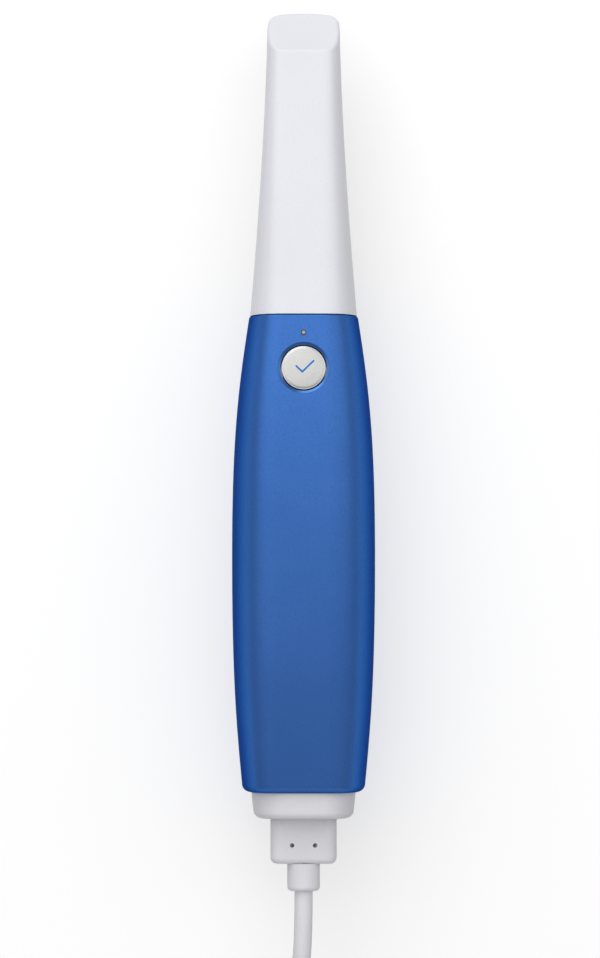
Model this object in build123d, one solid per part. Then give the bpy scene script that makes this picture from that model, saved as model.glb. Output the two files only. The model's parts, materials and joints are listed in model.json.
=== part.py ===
from build123d import *
import math
import os

# Intraoral scanner lying on its back, in millimetres.
# +Y runs towards the tip, +Z out of the button side, and the cable leaves towards -Y.

# Lengths along the axis
collar_length = 8.0
handle_length = 145.7
tip_gap = 0.3
tip_length = 94.2
axis_height = 26.0
rest_trim = 0.7

# Handle casing
handle_width = 44.0
handle_nose_width = 33.5
handle_heel_width = 37.4
handle_front_depth = 21.4
handle_nose_depth = 16.6
handle_heel_front_depth = 18.2
handle_heel_back_depth = 19.6
widest_share = 0.5
swell_power = 2.4
handle_fullness = 0.62
handle_flat = 8.0
nose_flat = 6.4
handle_stations = 7
shell_wall = 1.8
heel_wall = 3.4
heel_round = 2.5
nose_rim = 1.8
edge_round = 0.4
seam_width = 0.3
seam_depth = 0.3
lip_wall = 0.8
lip_height = 1.2

# Clearances
seat_gap = 0.1
slide_gap = 0.3
glass_gap = 0.05

# Vent slots in the back shell
vent_count = 7
vent_pitch = 3.4
vent_width = 1.6
vent_length = 15.0
vent_from_heel = 18.0

# Scanning tip
tip_base_width = 32.9
tip_base_depth = 32.4
tip_end_width = 22.2
tip_end_depth = 15.9
tip_flare = 1.55
tip_fullness = 0.65
tip_base_flat = 5.2
tip_end_flat = 6.4
tip_stations = 7
tip_wall = 1.6
tip_end_wall = 1.8
tip_end_round = 3.2
tip_end_crown = 60.0
facet_length = 12.9
facet_angle = 45.0
facet_round = 1.2
window_width = 16.6
window_length = 15.4
window_corner = 2.5
window_end_margin = 2.9
mirror_width = 16.0
mirror_thickness = 1.0
mirror_margin = 1.5

# Optics nose inside the tip
nose_reach = 62.0
land_radius = 13.6
land_length = 10.5
nose_wall = 1.4
nose_stations = 5
nose_gap = 0.5
flange_thickness = 2.0
glass_thickness = 1.0
glass_ledge = 1.0
glass_frame = 1.0
key_width = 2.4
key_height = 0.8
key_length = 6.0
ring_width = 1.8
ring_depth = 0.9
ring_from_base = 7.6

# Scan button and status light
button_from_nose = 16.3
button_radius = 6.7
button_dish_radius = 8.0
button_dish_depth = 1.0
button_drop = 0.45
button_dome = 0.3
button_boss_wall = 2.4
button_boss_depth = 3.6
button_flange = 0.8
button_flange_thickness = 0.7
button_travel = 0.5
stem_radius = 1.6
stem_length = 0.6
switch_size = 6.0
switch_height = 3.4
plunger_height = 0.9
status_from_nose = 5.45
status_radius = 0.75
status_sink = 0.4
button_board_width = 15.0
button_board_thickness = 1.0
button_board_margin = 1.4
button_post_radius = 1.7
button_post_spread = 12.0

# Screw heads
screw_head_radius = 1.4
screw_head_height = 0.8

# Optical bench, projector and cameras
bench_drop = 9.0
bench_thickness = 2.0
bench_width = 28.0
bench_tongue_width = 19.0
bench_tongue_length = 12.5
wiring_space = 16.2
bench_upright_height = 6.0
bench_post_radius = 2.0
bench_post_from_nose = 35.2
bench_post_margin = 7.8
projector_width = 17.0
projector_height = 17.0
projector_from_nose = 33.3
projector_lens_radius = 5.4
projector_lens_length = 26.5
lens_step = 0.8
lens_step_length = 6.0
camera_lens_radius = 3.6
camera_lens_length = 11.5
camera_width = 8.4
camera_height = 14.0
camera_length = 11.0
camera_from_nose = 18.3
camera_spacing = 1.4
sink_base = 3.0
sink_length = 15.0
sink_clearance = 6.5
sink_fin_count = 6
sink_fin_thickness = 1.2

# Main board under the bench
board_width = 19.5
board_gap = 4.5
board_thickness = 1.6
board_from_nose = 33.3
standoff_height = 4.0
standoff_radius = 1.8
standoff_margin = 2.6
chip_height = 1.4
chip_shares = (0.18, 0.13, 0.1, 0.15)
chip_space_share = 0.075

# Fan
fan_size = 25.0
fan_depth = 8.0
fan_bore_radius = 11.4
fan_hub_radius = 5.0
fan_blade_count = 7
fan_blade_pitch = 38.0
fan_blade_chord = 7.0
fan_blade_thickness = 0.7
fan_blade_gap = 0.9
fan_floor = 1.2
fan_strut_count = 3
fan_strut_width = 1.6
fan_shaft_radius = 0.8
fan_shaft_stop = 1.5
fan_from_heel = 31.5
fan_screw_margin = 2.0
bulkhead_thickness = 1.5

# End collar, socket and plug
collar_width = 32.0
collar_depth = 31.0
collar_taper = 0.8
collar_round = 2.4
collar_fullness = 0.64
collar_flat = 5.0
collar_flange = 0.8
collar_flange_thickness = 2.0
collar_wall = 2.2
plug_width = 20.3
plug_depth = 10.6
plug_corner = 3.2
plug_length = 14.0
plug_insert = 6.2
plug_round = 2.0
eye_spacing = 7.1
eye_radius = 0.7
eye_from_collar = 8.3
web_thickness = 2.0
usb_width = 8.25
usb_height = 2.4
usb_wall = 0.3
usb_length = 6.65
socket_gap = 0.2
socket_wall = 0.3
tongue_width = 6.7
tongue_height = 0.7
tongue_set_back = 1.7
socket_board_width = 30.0
socket_board_height = 13.0
relief_radius = 5.0
relief_length = 8.4
relief_round = 1.3

# Cable, its coil, tie and far plug
cable_radius = 2.8
coil_fold_radius = 16.8
coil_columns = 2
coil_rows = 4
coil_run = 76.0
coil_start_y = -240.0
coil_chamfer = 1.6
tie_thickness = 1.0
tie_gap = 0.3
tie_width = 10.0
tie_corner = 2.0
grip_width = 11.6
grip_height = 6.4
grip_length = 19.0
grip_corner = 2.2
grip_round = 1.2
tail_places = (5.0, -8.0, -22.0, -36.0)
tail_drops = (5.2, 1.5, 0.0, 0.0)
bend_share = 0.45

# Stations worked out from the lengths
scanner_length = collar_length + handle_length + tip_gap + tip_length
rear_end = -scanner_length / 2
heel = rear_end + collar_length
nose = heel + handle_length
tip_base = nose + tip_gap
tip_end = tip_base + tip_length
widest = heel + widest_share * handle_length
handle_back_depth = axis_height + rest_trim
nose_end = nose + nose_reach
flange_back = nose - nose_rim - flange_thickness
socket_end = tip_base + land_length + tip_gap
button_y = nose - button_from_nose
fan_back = heel + fan_from_heel
fan_front = fan_back + fan_depth
bulkhead_front = fan_front + bulkhead_thickness
bench_back = bulkhead_front + screw_head_height + wiring_space
projector_front = nose - projector_from_nose
projector_back = bench_back + sink_clearance + sink_length
camera_front = nose - camera_from_nose
camera_x = projector_lens_radius + camera_spacing + camera_lens_radius
bench_top = -bench_drop
bench_low = bench_top - bench_thickness
bench_post_x = board_width / 2 + slide_gap + bench_post_radius
board_front = nose - board_from_nose
board_back = bulkhead_front + board_gap
board_length = board_front - board_back
board_top = bench_low - standoff_height
board_low = board_top - board_thickness
pocket_floor = rear_end + plug_insert + slide_gap
collar_front = heel + heel_wall + collar_flange_thickness
plug_back = rear_end - plug_length
cable_exit = plug_back - relief_length
coil_inner = coil_fold_radius - cable_radius
coil_outer = coil_inner + 2 * coil_columns * cable_radius
coil_leg_x = (coil_inner + coil_outer) / 2
coil_middle_y = coil_start_y - coil_run / 2
coil_low = tie_thickness + tie_gap
coil_top = coil_low + 2 * coil_rows * cable_radius
low_align = (Align.MIN, Align.MIN, Align.MIN)
base_align = (Align.CENTER, Align.CENTER, Align.MIN)

# The cable's way from the strain relief down to the lowest turn of its coil
cable_route = [
    (0, cable_exit, axis_height),
    (0, -159.4, axis_height),
    (-1.0, -173.0, 21.5),
    (-6.8, -187.0, 13.5),
    (-14.4, -201.0, 7.6),
    (-20.5, -215.0, 4.7),
    (-22.4, -229.0, 4.1),
    (-22.4, -241.0, 4.1),
]


def evenly(first, last, count):
    return [first + (last - first) * i / (count - 1) for i in range(count)]


# Placing helpers, measured from the optical axis
def block(x_from, x_to, y_from, y_to, z_from, z_to):
    size = Box(x_to - x_from, y_to - y_from, z_to - z_from, align=low_align)
    return Pos(x_from, y_from, axis_height + z_from) * size


def rod(y_from, y_to, radius, x=0.0, z=0.0):
    turned = Rot(-90, 0, 0) * Cylinder(radius, y_to - y_from, align=base_align)
    return Pos(x, y_from, axis_height + z) * turned


def y_prism(sketch, y_from, y_to):
    plane = Plane((0, y_from, axis_height), x_dir=(1, 0, 0), z_dir=(0, -1, 0))
    return extrude(plane * sketch, amount=y_from - y_to)


# Section across the axis: flat front and back bands joined by full corners
def oval(y, half_width, front, back, fullness, flat):
    def at(x, z):
        return (x, y, axis_height + z)

    w = half_width
    k = fullness
    reach = flat + k * (w - flat)
    edges = [
        Bezier(at(w, 0), at(w, k * front), at(reach, front), at(flat, front)),
        Line(at(flat, front), at(-flat, front)),
        Bezier(at(-flat, front), at(-reach, front), at(-w, k * front), at(-w, 0)),
        Bezier(at(-w, 0), at(-w, -k * back), at(-reach, -back), at(-flat, -back)),
        Line(at(-flat, -back), at(flat, -back)),
        Bezier(at(flat, -back), at(reach, -back), at(w, -k * back), at(w, 0)),
    ]
    return Face(Wire(edges))


def y_plate(section, thickness):
    return extrude(section, amount=thickness, dir=(0, 1, 0))


# Handle casing: barrel-shaped sections between heel and nose
def swell(y, middle, at_nose, at_heel):
    if y > widest:
        share = (y - widest) / (nose - widest)
        end = at_nose
    else:
        share = (widest - y) / (widest - heel)
        end = at_heel
    return end + (middle - end) * (1 - share**swell_power)


def front_depth(y):
    return swell(y, handle_front_depth, handle_nose_depth, handle_heel_front_depth)


def handle_section(y, inset=0.0):
    half_width = swell(y, handle_width, handle_nose_width, handle_heel_width) / 2
    back = swell(y, handle_back_depth, handle_nose_depth, handle_heel_back_depth)
    flat = swell(y, handle_flat, nose_flat, handle_flat)
    return oval(y, half_width - inset, front_depth(y) - inset, back - inset, handle_fullness, flat)


def handle_loft(y_from, y_to, inset=0.0):
    stations = evenly(y_from, y_to, handle_stations)
    return loft([handle_section(y, inset) for y in stations])


def collar_section(y, growth=0.0):
    half_depth = collar_depth / 2 + growth
    half_width = collar_width / 2 + growth
    return oval(y, half_width, half_depth, half_depth, collar_fullness, collar_flat)


def across_handle(z_from, z_to):
    return block(-handle_width, handle_width, rear_end, tip_base, z_from, z_to)


def casing_hollow(inset):
    return handle_loft(heel + heel_wall, nose - nose_rim, inset)


def casing():
    outer = handle_loft(heel, nose)
    heel_edges = outer.edges().group_by(Axis.Y)[0]
    outer = fillet(heel_edges, heel_round)
    nose_edges = outer.edges().group_by(Axis.Y)[-1]
    outer = fillet(nose_edges, edge_round)
    hollow = casing_hollow(shell_wall)
    nose_hole = rod(nose - 2 * nose_rim, nose + nose_rim, land_radius + seat_gap)
    collar_hole = y_plate(collar_section(heel - heel_wall, seat_gap), 3 * heel_wall)
    seam = across_handle(-seam_width / 2, seam_width / 2) - handle_loft(heel, nose, seam_depth)
    return outer - hollow - nose_hole - collar_hole - seam


# Tongue of the back shell, which stands in a rebate of the front shell
def seam_lip(inset, height):
    return casing_hollow(inset) & across_handle(0, height)


# Button frame: a plane on the casing's surface, square to it
def surface_plane(y):
    slope = (front_depth(y + 1) - front_depth(y - 1)) / 2
    return Plane((0, y, axis_height + front_depth(y)), x_dir=(1, 0, 0), z_dir=(0, -slope, 1))


def button_rod(z_from, z_to, radius, x=0.0, y=0.0):
    shape = Cylinder(radius, z_to - z_from, align=base_align)
    return surface_plane(button_y) * Pos(x, y, z_from) * shape


button_flange_top = -button_boss_depth - slide_gap
stem_top = button_flange_top - button_flange_thickness
plunger_top = stem_top - stem_length
switch_top = plunger_top - plunger_height
button_board_top = switch_top - switch_height
status_y = button_from_nose - status_from_nose
post_y = -(button_radius + slide_gap + button_boss_wall) + button_post_radius


def button_posts():
    return [button_rod(button_board_top, 0, button_post_radius, x, post_y)
            for x in (-button_post_spread / 2, button_post_spread / 2)]


def front_shell(case):
    upper = across_handle(0, handle_width)
    envelope = handle_loft(heel, nose) & upper
    bore_radius = button_radius + slide_gap
    shell = (case & upper) - seam_lip(shell_wall - lip_wall, lip_height)
    shell += button_rod(-button_boss_depth, 0, bore_radius + button_boss_wall) & envelope
    for post in button_posts():
        shell += post & envelope
    shell -= button_rod(-2 * button_boss_depth, button_boss_depth, bore_radius)
    dish = Cone(bore_radius, 2 * button_dish_radius - bore_radius, 2 * button_dish_depth, align=base_align)
    shell -= surface_plane(button_y) * Pos(0, 0, -button_dish_depth) * dish
    return shell - button_rod(-2 * shell_wall, 2 * shell_wall, status_radius + seat_gap, y=status_y)


def back_shell(case):
    lower = across_handle(-axis_height, 0)
    shell = case & lower
    tongue = seam_lip(shell_wall - lip_wall + seat_gap, lip_height - seat_gap)
    shell += tongue - casing_hollow(shell_wall)
    post = Cylinder(bench_post_radius, axis_height + bench_low, align=base_align)
    envelope = handle_loft(heel, nose) & lower
    for x, y in bench_post_places():
        shell += Pos(x, y, 0) * post & envelope
    slot = extrude(SlotOverall(vent_length, vent_width, rotation=90), amount=axis_height / 2)
    reach = vent_pitch * (vent_count - 1) / 2
    for x in evenly(-reach, reach, vent_count):
        shell -= Pos(x, heel + vent_from_heel, 0) * slot
    return shell


def button_cap():
    crown = button_drop - button_dome
    dome_radius = (button_radius**2 + button_dome**2) / (2 * button_dome)
    rim = Plane.XZ * make_face([
        Line((0, plunger_top), (stem_radius, plunger_top)),
        Line((stem_radius, plunger_top), (stem_radius, stem_top)),
        Line((stem_radius, stem_top), (button_radius + button_flange, stem_top)),
        Line((button_radius + button_flange, stem_top), (button_radius + button_flange, button_flange_top)),
        Line((button_radius + button_flange, button_flange_top), (button_radius, button_flange_top)),
        Line((button_radius, button_flange_top), (button_radius, -button_drop)),
        RadiusArc((button_radius, -button_drop), (0, -crown), -dome_radius),
        Line((0, -crown), (0, plunger_top)),
    ])
    return surface_plane(button_y) * revolve(rim, Axis.Z)


def button_switch():
    size = switch_size / 2
    body = Pos(0, 0, button_board_top) * Box(2 * size, 2 * size, switch_height, align=base_align)
    well = Pos(0, 0, switch_top - 2 * button_travel)
    body -= well * Cylinder(stem_radius + slide_gap, 4 * button_travel, align=base_align)
    return surface_plane(button_y) * body


def switch_plunger():
    return button_rod(switch_top - button_travel, plunger_top, stem_radius)


def button_board():
    front = status_y + button_board_margin
    back = post_y - button_board_margin
    board = Box(button_board_width, front - back, button_board_thickness)
    low = button_board_top - button_board_thickness / 2
    return surface_plane(button_y) * Pos(0, (front + back) / 2, low) * board


def button_board_screws():
    top = button_board_top - button_board_thickness
    return Part() + [button_rod(top - screw_head_height, top, screw_head_radius, x, post_y)
                     for x in (-button_post_spread / 2, button_post_spread / 2)]


def status_lens():
    return button_rod(button_board_top, -status_sink, status_radius, y=status_y)


# Scanning tip: trumpet-shaped sections from base to end
def tip_sizes(y, inset=0.0):
    share = (tip_end - y) / tip_length
    flare = max(share, 0.0) ** tip_flare
    half_width = (tip_end_width + (tip_base_width - tip_end_width) * flare) / 2
    half_depth = (tip_end_depth + (tip_base_depth - tip_end_depth) * flare) / 2
    flat = tip_end_flat + (tip_base_flat - tip_end_flat) * share
    return half_width - inset, half_depth - inset, half_depth - inset, tip_fullness, flat


def tip_loft(y_from, y_to, inset, count):
    return loft([oval(y, *tip_sizes(y, inset)) for y in evenly(y_from, y_to, count)])


def facet_plane(inset=0.0):
    y = tip_end - facet_length
    z = axis_height + tip_sizes(y)[1]
    tilt = math.radians(facet_angle)
    normal = Vector(0, math.sin(tilt), math.cos(tilt))
    return Plane(Vector(0, y, z) - normal * inset, x_dir=(1, 0, 0), z_dir=normal)


def above_facet(inset=0.0):
    size = tip_length
    return facet_plane(inset) * Box(size, size, size, align=base_align)


def key_bar(y_from, y_to, width, height):
    reach = land_radius + height
    return block(-reach, reach, y_from, y_to, -width / 2, width / 2)


def tip_shell():
    outer = tip_loft(tip_base, tip_end, 0, tip_stations)
    crown = Cylinder(tip_end_crown, 4 * tip_base_depth)
    outer &= Pos(0, tip_end - tip_end_crown, axis_height) * crown
    end_face = outer.faces().sort_by(Axis.Y)[-1]
    outer = fillet(end_face.edges(), tip_end_round)
    outer -= above_facet()
    facet = outer.faces().sort_by_distance(facet_plane().origin)[0]
    outer = fillet(facet.edges(), facet_round)
    hollow = tip_loft(socket_end, tip_end - tip_end_wall, tip_wall, tip_stations)
    hollow -= above_facet(tip_end_wall)
    shell = outer - hollow
    shell -= rod(tip_base, socket_end, land_radius + slide_gap)
    slot_end = tip_base + key_length + slide_gap
    shell -= key_bar(tip_base, slot_end, key_width + 2 * slide_gap, key_height + slide_gap)
    window = RectangleRounded(window_width, window_length, window_corner)
    middle = tip_end - window_end_margin - window_length / 2
    shell -= Pos(0, middle, 0) * extrude(window, amount=axis_height - tip_end_depth / 2 + 2 * tip_wall)
    return shell


def tip_mirror():
    plane = facet_plane(tip_end_wall)
    cosine = math.cos(math.radians(facet_angle))
    first = mirror_margin + tip_wall / cosine
    last = (tip_end - tip_end_wall - plane.origin.Y) / cosine - mirror_margin
    plate = Box(mirror_width, last - first, mirror_thickness)
    return plane * Pos(0, (first + last) / 2, -mirror_thickness / 2) * plate


# Optics nose
def nose_inset():
    return tip_wall + nose_gap


def nose_barrel():
    land_end = tip_base + land_length
    flange_radius = min(handle_section(flange_back, shell_wall).bounding_box().size.X / 2,
                        front_depth(flange_back) - shell_wall) - slide_gap
    body = rod(flange_back, nose - nose_rim, flange_radius)
    body += rod(flange_back, land_end, land_radius)
    passing = rod(land_end, nose_end, land_radius)
    body += tip_loft(land_end, nose_end, nose_inset(), nose_stations) & passing
    body += key_bar(tip_base + slide_gap, tip_base + key_length, key_width, key_height)
    body -= rod(flange_back, land_end, land_radius - nose_wall - ring_depth)
    bore_end = nose_end - glass_thickness - glass_gap
    body -= tip_loft(land_end, nose_end, nose_inset() + glass_frame + glass_ledge, nose_stations)
    pocket = tip_loft(bore_end, nose_end, nose_inset() + glass_frame - glass_gap, 2)
    body -= pocket
    ring_low = tip_base + ring_from_base
    groove = rod(ring_low, ring_low + ring_width, land_radius + slide_gap)
    groove -= rod(ring_low, ring_low + ring_width, land_radius - ring_depth)
    return body - groove


def nose_window():
    return tip_loft(nose_end - glass_thickness, nose_end, nose_inset() + glass_frame, 2)


def retaining_ring():
    ring_low = tip_base + ring_from_base + seat_gap / 2
    ring_high = ring_low + ring_width - seat_gap
    ring = rod(ring_low, ring_high, land_radius + seat_gap)
    return ring - rod(ring_low, ring_high, land_radius - ring_depth + seat_gap)


# Optical bench with projector, cameras and heat sink
def optical_bench():
    tongue_start = flange_back - bench_tongue_length
    half = bench_tongue_width / 2
    wide = bench_width / 2
    plate = block(-wide, wide, bench_back, tongue_start, bench_low, bench_top)
    plate += block(-half, half, tongue_start, flange_back, bench_low, bench_top)
    upright_top = bench_low + bench_upright_height
    return plate + block(-half, half, flange_back - bench_thickness, flange_back, bench_low, upright_top)


def bench_post_places():
    rows = (nose - bench_post_from_nose, bench_back + bench_post_margin)
    return [(x, y) for y in rows for x in (-bench_post_x, bench_post_x)]


def bench_screws():
    head = Cylinder(screw_head_radius, screw_head_height, align=base_align)
    return Part() + [Pos(x, y, axis_height + bench_top) * head for x, y in bench_post_places()]


def projector_body():
    half = projector_width / 2
    body = block(-half, half, projector_back, projector_front, bench_top, bench_top + projector_height)
    return chamfer(body.edges().filter_by(Axis.Y), lens_step)


def lens_barrel(front, length, radius, x=0.0):
    barrel = rod(front, front + length, radius - lens_step, x)
    barrel += rod(front, front + lens_step_length, radius, x)
    return barrel + rod(front + length - lens_step_length / 2, front + length, radius, x)


def camera_body(side):
    x = side * camera_x
    half = camera_width / 2
    back = camera_front - camera_length
    body = block(x - half, x + half, back, camera_front, bench_top, bench_top + camera_height)
    return chamfer(body.edges().filter_by(Axis.Y), lens_step)


def heat_sink():
    half = projector_width / 2
    high = bench_top + projector_height
    base = block(-half, half, projector_back - sink_base, projector_back, bench_top, high)
    low = projector_back - sink_length
    for x in evenly(-half, half - sink_fin_thickness, sink_fin_count):
        base += block(x, x + sink_fin_thickness, low, projector_back - sink_base, bench_top, high)
    return base


# Main board hung under the bench
def main_board():
    half = board_width / 2
    return block(-half, half, board_back, board_front, board_low, board_top)


def board_standoffs():
    x = board_width / 2 - standoff_margin
    back = max(board_back, bench_back) + standoff_margin
    front = board_front - standoff_margin
    stand = Cylinder(standoff_radius, standoff_height, align=base_align)
    places = [(side * x, y) for side in (-1, 1) for y in (back, front)]
    return Part() + [Pos(px, py, axis_height + board_top) * stand for px, py in places]


def board_chips():
    chips = []
    spacing = chip_space_share * board_length
    y = board_front - spacing
    for share in chip_shares:
        size = share * board_length
        chips.append(block(-size / 2, size / 2, y - size, y, board_low - chip_height, board_low))
        y -= size + spacing
    return Part() + chips


# Fan behind its bulkhead
def fan_bulkhead():
    slab = block(-handle_width, handle_width, fan_front, bulkhead_front, -handle_width, handle_width)
    wall = casing_hollow(shell_wall + seat_gap) & slab
    return wall - rod(fan_front, bulkhead_front, fan_bore_radius)


def round_fan(angle, radius, y):
    return Pos(0, y, axis_height) * Rot(0, angle, 0) * Pos(0, 0, radius)


def fan_frame():
    half = fan_size / 2
    frame = block(-half, half, fan_back, fan_front, -half, half) - rod(fan_back, fan_front, fan_bore_radius)
    frame += rod(fan_back, fan_back + fan_floor, fan_hub_radius)
    for i in range(fan_strut_count):
        strut = Box(fan_strut_width, fan_floor, fan_bore_radius, align=(Align.CENTER, Align.MIN, Align.MIN))
        frame += round_fan(360 / fan_strut_count * i, 0, fan_back) * strut
    return frame + rod(fan_back, fan_front - fan_shaft_stop, fan_shaft_radius)


def fan_rotor():
    back = fan_back + fan_floor + slide_gap
    front = fan_front - slide_gap
    rotor = rod(back, front, fan_hub_radius)
    tip_radius = fan_bore_radius - fan_blade_gap
    span = tip_radius - fan_hub_radius + fan_blade_gap
    for i in range(fan_blade_count):
        blade = Rot(0, 0, fan_blade_pitch) * Box(fan_blade_chord, fan_blade_thickness, span)
        rotor += round_fan(360 / fan_blade_count * i, tip_radius - span / 2, (back + front) / 2) * blade
    return rotor - rod(back, fan_front - fan_shaft_stop + slide_gap, fan_shaft_radius + seat_gap)


def fan_screws():
    reach = fan_size / 2 - fan_screw_margin
    head_end = bulkhead_front + screw_head_height
    places = [(x, z) for x in (-reach, reach) for z in (-reach, reach)]
    return Part() + [rod(bulkhead_front, head_end, screw_head_radius, x, z) for x, z in places]


# End collar with the socket behind its pocket
def plug_outline(growth=0.0):
    return RectangleRounded(plug_width + 2 * growth, plug_depth + 2 * growth, plug_corner + growth)


def end_collar():
    collar = loft([collar_section(rear_end, -collar_taper), collar_section(heel)])
    collar = fillet(collar.edges().group_by(Axis.Y)[0], collar_round)
    collar += y_plate(collar_section(heel), heel_wall)
    collar += y_plate(collar_section(heel + heel_wall, collar_flange), collar_flange_thickness)
    collar -= y_prism(plug_outline(slide_gap), rear_end, pocket_floor)
    hollow_back = pocket_floor + web_thickness
    collar -= y_plate(collar_section(hollow_back, -collar_wall), collar_front - hollow_back)
    opening = usb_slot(socket_gap + socket_wall + seat_gap)
    return collar - y_prism(opening, pocket_floor, hollow_back)


def usb_slot(growth):
    return SlotOverall(usb_width + 2 * growth, usb_height + 2 * growth)


def socket_shell():
    shell = y_prism(usb_slot(socket_gap + socket_wall), pocket_floor, collar_front)
    return shell - y_prism(usb_slot(socket_gap), pocket_floor, collar_front)


def socket_tongue():
    half = tongue_width / 2
    high = tongue_height / 2
    return block(-half, half, pocket_floor + tongue_set_back, collar_front, -high, high)


def socket_board():
    half = socket_board_width / 2
    high = socket_board_height / 2
    return block(-half, half, collar_front, collar_front + board_thickness, -high, high)


# Cable plug and strain relief
def plug_housing():
    body = y_prism(plug_outline(), plug_back, rear_end + plug_insert)
    body = fillet(body.edges().group_by(Axis.Y)[0], plug_round)
    eye = Rot(90, 0, 0) * Torus(eye_spacing / 2, eye_radius)
    return body - Pos(0, rear_end - eye_from_collar, axis_height + plug_depth / 2) * eye


def usb_shell(plane):
    tube = extrude(usb_slot(0), amount=usb_length) - extrude(usb_slot(-usb_wall), amount=usb_length)
    return plane * tube


def plug_shell():
    return usb_shell(Plane((0, rear_end + plug_insert, axis_height), x_dir=(1, 0, 0), z_dir=(0, 1, 0)))


def strain_relief():
    relief = rod(cable_exit, plug_back, relief_radius)
    return fillet(relief.edges().group_by(Axis.Y)[0], relief_round)


# Cable: straight runs joined by arcs as large as the runs allow
def cable_tube(points, name):
    corners = [Vector(*point) for point in points]
    runs = [b - a for a, b in zip(corners, corners[1:])]
    radii = []
    for first, second in zip(runs, runs[1:]):
        half_turn = math.radians(first.get_angle(second)) / 2
        radii.append(bend_share * min(first.length, second.length) / math.tan(half_turn))
    path = FilletPolyline(*corners, radius=radii)
    tube = sweep(Plane(corners[0], z_dir=runs[0]) * Circle(cable_radius), path=path)
    section = math.pi * cable_radius**2
    print(name, "bend radii", [round(r, 1) for r in radii], "volume over section times length",
          round(tube.volume / (section * path.length), 4), "length", round(path.length, 1))
    return tube


# The coil is wound long, with two straight legs between its folds
def coil_slot(reach):
    return SlotOverall(coil_run + 2 * reach, 2 * reach, rotation=90)


def cable_coil():
    ring = extrude(coil_slot(coil_outer) - coil_slot(coil_inner), amount=coil_top - coil_low)
    levels = ring.edges().group_by(Axis.Z)
    ring = chamfer(levels[0] + levels[-1], coil_chamfer)
    return Pos(0, coil_middle_y, coil_low) * ring


def coil_tie():
    width = coil_outer - coil_inner + 2 * tie_gap
    height = coil_top - coil_low + 2 * tie_gap
    inside = RectangleRounded(width, height, tie_corner)
    band = offset(inside, tie_thickness) - inside
    place = Plane((coil_leg_x, coil_middle_y, (coil_low + coil_top) / 2), x_dir=(1, 0, 0), z_dir=(0, -1, 0))
    return extrude(place * band, amount=tie_width / 2, both=True)


# The cable's end lies on one leg of the coil and leads straight into the far plug
def tail_route():
    top = coil_top + grip_height / 2
    return [(-coil_leg_x, coil_start_y + y, top - drop) for y, drop in zip(tail_places, tail_drops)]


def far_plane(offset):
    end = tail_route()[-1]
    return Plane((end[0], end[1] - offset, end[2]), x_dir=(1, 0, 0), z_dir=(0, -1, 0))


def far_grip():
    outline = RectangleRounded(grip_width, grip_height, grip_corner)
    grip = extrude(far_plane(0) * outline, amount=grip_length)
    return fillet(grip.edges().group_by(Axis.Y)[-1], grip_round)


case = casing()
pieces = {
    "front_shell": front_shell(case),
    "back_shell": back_shell(case),
    "nose_barrel": nose_barrel(),
    "nose_window": nose_window(),
    "retaining_ring": retaining_ring(),
    "tip_shell": tip_shell(),
    "tip_mirror": tip_mirror(),
    "button_cap": button_cap(),
    "switch_plunger": switch_plunger(),
    "button_switch": button_switch(),
    "button_board": button_board(),
    "button_board_screws": button_board_screws(),
    "status_lens": status_lens(),
    "optical_bench": optical_bench(),
    "bench_screws": bench_screws(),
    "projector_body": projector_body(),
    "projector_lens": lens_barrel(projector_front, projector_lens_length, projector_lens_radius),
    "camera_left": camera_body(-1),
    "camera_right": camera_body(1),
    "camera_lens_left": lens_barrel(camera_front, camera_lens_length, camera_lens_radius, -camera_x),
    "camera_lens_right": lens_barrel(camera_front, camera_lens_length, camera_lens_radius, camera_x),
    "heat_sink": heat_sink(),
    "main_board": main_board(),
    "board_standoffs": board_standoffs(),
    "board_chips": board_chips(),
    "fan_bulkhead": fan_bulkhead(),
    "fan_frame": fan_frame(),
    "fan_rotor": fan_rotor(),
    "fan_screws": fan_screws(),
    "end_collar": end_collar(),
    "socket_shell": socket_shell(),
    "socket_tongue": socket_tongue(),
    "socket_board": socket_board(),
    "plug_housing": plug_housing(),
    "plug_shell": plug_shell(),
    "strain_relief": strain_relief(),
    "cable_run": cable_tube(cable_route, "cable_run"),
    "cable_coil": cable_coil(),
    "coil_tie": coil_tie(),
    "cable_tail": cable_tube(tail_route(), "cable_tail"),
    "far_grip": far_grip(),
    "far_shell": usb_shell(far_plane(grip_length)),
}

os.makedirs("parts", exist_ok=True)
for name, piece in pieces.items():
    export_step(piece, f"parts/{name}.step")
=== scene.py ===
import bpy
import bmesh
import json
import math
from mathutils import Matrix, Vector


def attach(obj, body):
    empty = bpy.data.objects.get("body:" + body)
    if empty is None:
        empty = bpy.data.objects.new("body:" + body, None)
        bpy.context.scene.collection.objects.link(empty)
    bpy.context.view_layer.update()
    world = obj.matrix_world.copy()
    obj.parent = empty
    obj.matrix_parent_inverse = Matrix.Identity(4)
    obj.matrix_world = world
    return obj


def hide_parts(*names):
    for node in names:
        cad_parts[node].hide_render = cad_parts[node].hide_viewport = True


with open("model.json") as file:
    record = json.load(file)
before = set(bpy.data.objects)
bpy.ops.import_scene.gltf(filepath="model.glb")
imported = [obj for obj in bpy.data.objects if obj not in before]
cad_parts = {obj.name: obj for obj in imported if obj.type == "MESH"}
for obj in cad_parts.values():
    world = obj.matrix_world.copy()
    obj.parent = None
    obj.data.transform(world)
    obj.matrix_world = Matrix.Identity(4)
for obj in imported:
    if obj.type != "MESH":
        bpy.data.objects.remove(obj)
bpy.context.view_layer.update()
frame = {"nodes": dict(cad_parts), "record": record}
scene = bpy.context.scene
scene.view_settings.view_transform = "Standard"
mm = 0.001
mergeGap = 0.0005                              # mm


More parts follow.
